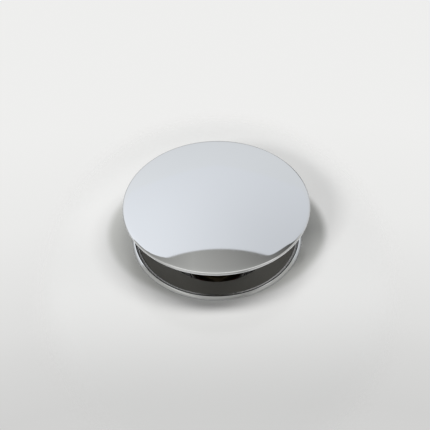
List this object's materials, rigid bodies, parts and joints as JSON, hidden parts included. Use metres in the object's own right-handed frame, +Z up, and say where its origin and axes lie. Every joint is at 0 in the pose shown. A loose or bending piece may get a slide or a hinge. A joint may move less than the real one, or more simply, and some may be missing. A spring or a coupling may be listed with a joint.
{
  "type": "pop-up sink drain",
  "caption": "Push-type pop-up basin drain: wide domed cap on a sprung latching cartridge, dished flange, overflow shank, clamp nut and tailpiece.",
  "frame": {"origin": "centre of the basin hole at the basin's surface, where the flange rests", "axes": "+Z up along the drain's axis, towards the cap; X passes through the two overflow slots"},
  "size_m": [0.066, 0.066, 0.1382],
  "materials": {
    "cap": "mirror-polished chrome plate",
    "seal_carrier": "moulded satin",
    "cap_seal": "matt rubber",
    "cap_stud": "turned",
    "stud_washer": "stamped stainless",
    "stud_nut": "turned",
    "plunger": "moulded satin",
    "rotor_clip": "stamped stainless",
    "latch_rotor": "moulded acetal",
    "return_spring": "drawn stainless wire",
    "spring_seat": "stamped stainless",
    "cam_ring": "moulded acetal",
    "cartridge_housing": "turned",
    "cartridge_washer": "pressed fibre",
    "cartridge_collar": "turned",
    "gland_o_ring": "matt rubber",
    "end_plug": "turned",
    "drain_body": "polished chrome plate",
    "flange_gasket": "matt rubber",
    "tapered_washer": "matt rubber",
    "friction_washer": "moulded polyethylene",
    "lock_nut": "forged and turned",
    "tailpiece": "polished chrome plate",
    "tailpiece_o_ring": "matt rubber"
  },
  "bodies": {
    "drain": {"drain_body": "drain_body", "flange_gasket": "flange_gasket", "tapered_washer": "tapered_washer", "friction_washer": "friction_washer", "lock_nut": "lock_nut", "tailpiece": "tailpiece", "tailpiece_o_ring": "tailpiece_o_ring", "cartridge_housing": "cartridge_housing", "cartridge_washer": "cartridge_washer", "cartridge_collar": "cartridge_collar", "gland_o_ring": "gland_o_ring", "cam_ring": "cam_ring", "spring_seat": "spring_seat", "end_plug": "end_plug", "return_spring": "return_spring"},
    "stopper": {"cap": "cap", "seal_carrier": "seal_carrier", "cap_seal": "cap_seal", "cap_stud": "cap_stud", "stud_washer": "stud_washer", "stud_nut": "stud_nut", "plunger": "plunger", "rotor_clip": "rotor_clip"},
    "rotor": {"latch_rotor": "latch_rotor"}
  },
  "joints": [
    {"name": "cap_press", "type": "slide", "parent": "drain", "child": "stopper", "axis": [0, 0, -1], "range_m": [0, 0.013], "stiffness_N_per_m": 650, "springref_m": -0.006, "deforming": ["return_spring"]},
    {"name": "latch_turn", "type": "hinge", "parent": "stopper", "child": "rotor", "pos_m": [0, 0, -0.0223], "axis": [0, 0, 1], "range_deg": [0, 45]}
  ],
  "couplings": [
    {"joint": "latch_turn", "follows": "cap_press", "rad_per_m": 60}
  ]
}
